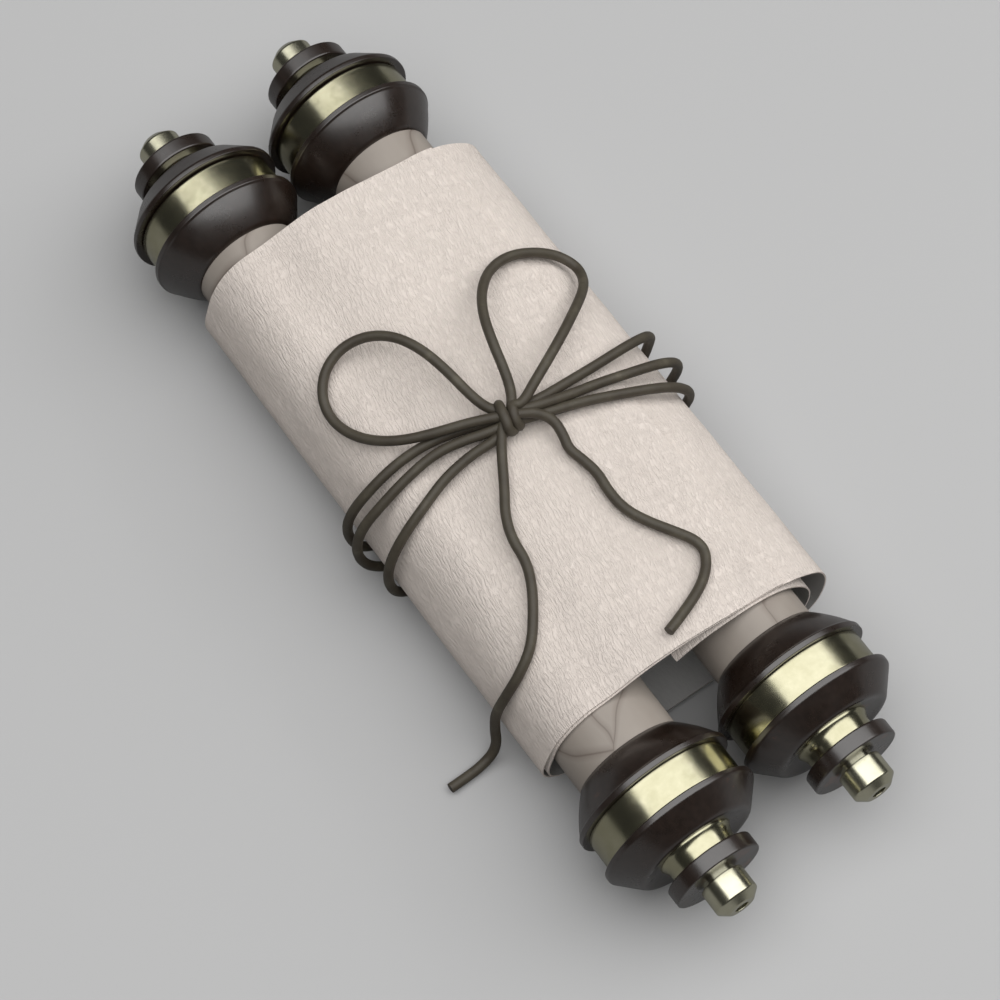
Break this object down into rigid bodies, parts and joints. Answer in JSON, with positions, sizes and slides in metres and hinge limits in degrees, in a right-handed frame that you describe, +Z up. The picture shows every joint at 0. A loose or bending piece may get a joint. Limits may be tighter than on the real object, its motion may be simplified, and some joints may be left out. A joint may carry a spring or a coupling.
{
  "type": "paper scroll",
  "caption": "Loose roll of handmade paper wound round two wooden rollers with turned, banded finials, tied with a waxed cord in a bow.",
  "frame": {"origin": "On the surface that the scroll lies on, under the middle of the rollers and the paper.", "axes": "Y runs along the rollers, with the near end of the picture at -Y; X runs across both rollers, left to right; Z is up."},
  "size_m": [0.1078, 0.2576, 0.0483],
  "materials": {
    "paper": "matt, warm beige, crepe-like wrinkled handmade paper",
    "pale_wood": "satin pale dowel with faint darker seams",
    "dark_wood": "satin very dark brown turned wood with worn rim edges",
    "brass": "pale greenish brass, slightly smudged polish",
    "steel": "plain bright steel",
    "cord": "waxed round cord, dark olive brown"
  },
  "bodies": {
    "roll": {"paper_roll": "paper", "cord_knot": "cord", "cord_turn_1": "cord", "cord_turn_2": "cord", "cord_turn_3": "cord", "cord_loop_left": "cord", "cord_loop_right": "cord", "cord_tail_left": "cord", "cord_tail_right": "cord"},
    "roller_left": {"roller_left_rod": "pale_wood", "left_front_inner_bell": "dark_wood", "left_front_band": "brass", "left_front_outer_bell": "dark_wood", "left_front_collar": "brass", "left_front_disc": "dark_wood", "left_front_tip": "brass", "left_front_stud": "steel", "left_rear_inner_bell": "dark_wood", "left_rear_band": "brass", "left_rear_outer_bell": "dark_wood", "left_rear_collar": "brass", "left_rear_disc": "dark_wood", "left_rear_tip": "brass", "left_rear_stud": "steel"},
    "roller_right": {"roller_right_rod": "pale_wood", "right_front_inner_bell": "dark_wood", "right_front_band": "brass", "right_front_outer_bell": "dark_wood", "right_front_collar": "brass", "right_front_disc": "dark_wood", "right_front_tip": "brass", "right_front_stud": "steel", "right_rear_inner_bell": "dark_wood", "right_rear_band": "brass", "right_rear_outer_bell": "dark_wood", "right_rear_collar": "brass", "right_rear_disc": "dark_wood", "right_rear_tip": "brass", "right_rear_stud": "steel"}
  },
  "joints": [
    {"name": "roller_left_turn", "type": "hinge", "parent": "roll", "child": "roller_left", "pos_m": [-0.02344, 0, 0.0212], "axis": [0, 1, 0], "continuous": true},
    {"name": "roller_right_turn", "type": "hinge", "parent": "roll", "child": "roller_right", "pos_m": [0.02026, 0, 0.0212], "axis": [0, 1, 0], "continuous": true}
  ]
}
